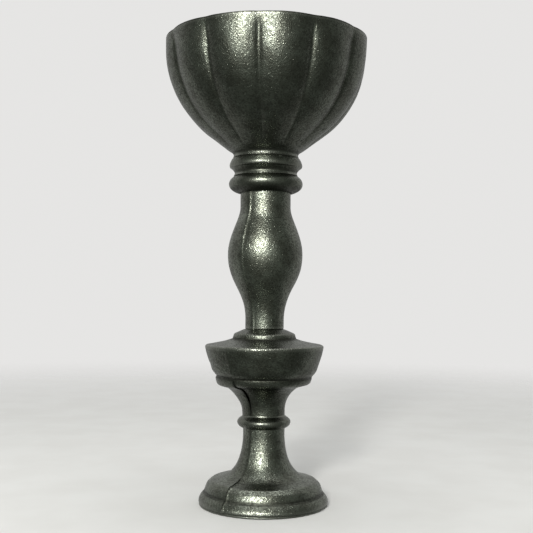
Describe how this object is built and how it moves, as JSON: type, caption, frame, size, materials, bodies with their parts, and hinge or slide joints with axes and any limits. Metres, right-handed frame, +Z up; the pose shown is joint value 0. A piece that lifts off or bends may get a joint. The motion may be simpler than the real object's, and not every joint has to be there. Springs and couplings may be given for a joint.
{
  "type": "communion chalice",
  "caption": "Cast pewter communion chalice: lobed hemispherical bowl on a moulded collar, baluster stem, broad knop and flared round foot, held together by a central tie rod.",
  "frame": {"origin": "centre of the circle that the foot stands on, on the axis of the chalice", "axes": "+Z up along the axis towards the rim; the seam between the half shells lies 38 degrees to the -X side of -Y"},
  "size_m": [0.0776, 0.0776, 0.18],
  "materials": {
    "pewter": "dark antiqued pewter, semi-gloss with a fine cast grain, a little brighter on worn edges",
    "dull_pewter": "dull as-cast pewter",
    "rod_steel": "plain steel, slightly tarnished"
  },
  "bodies": {
    "root": {"cup": "pewter", "upper_collar": "pewter", "lower_collar": "pewter", "stem_right_half": "pewter", "stem_left_half": "pewter", "knop_right_half": "pewter", "knop_left_half": "pewter", "neck_ring": "pewter", "foot_right_half": "pewter", "foot_left_half": "pewter", "base_ring": "dull_pewter", "tie_rod": "rod_steel", "foot_washer": "dull_pewter", "nut": "rod_steel"}
  },
  "joints": []
}
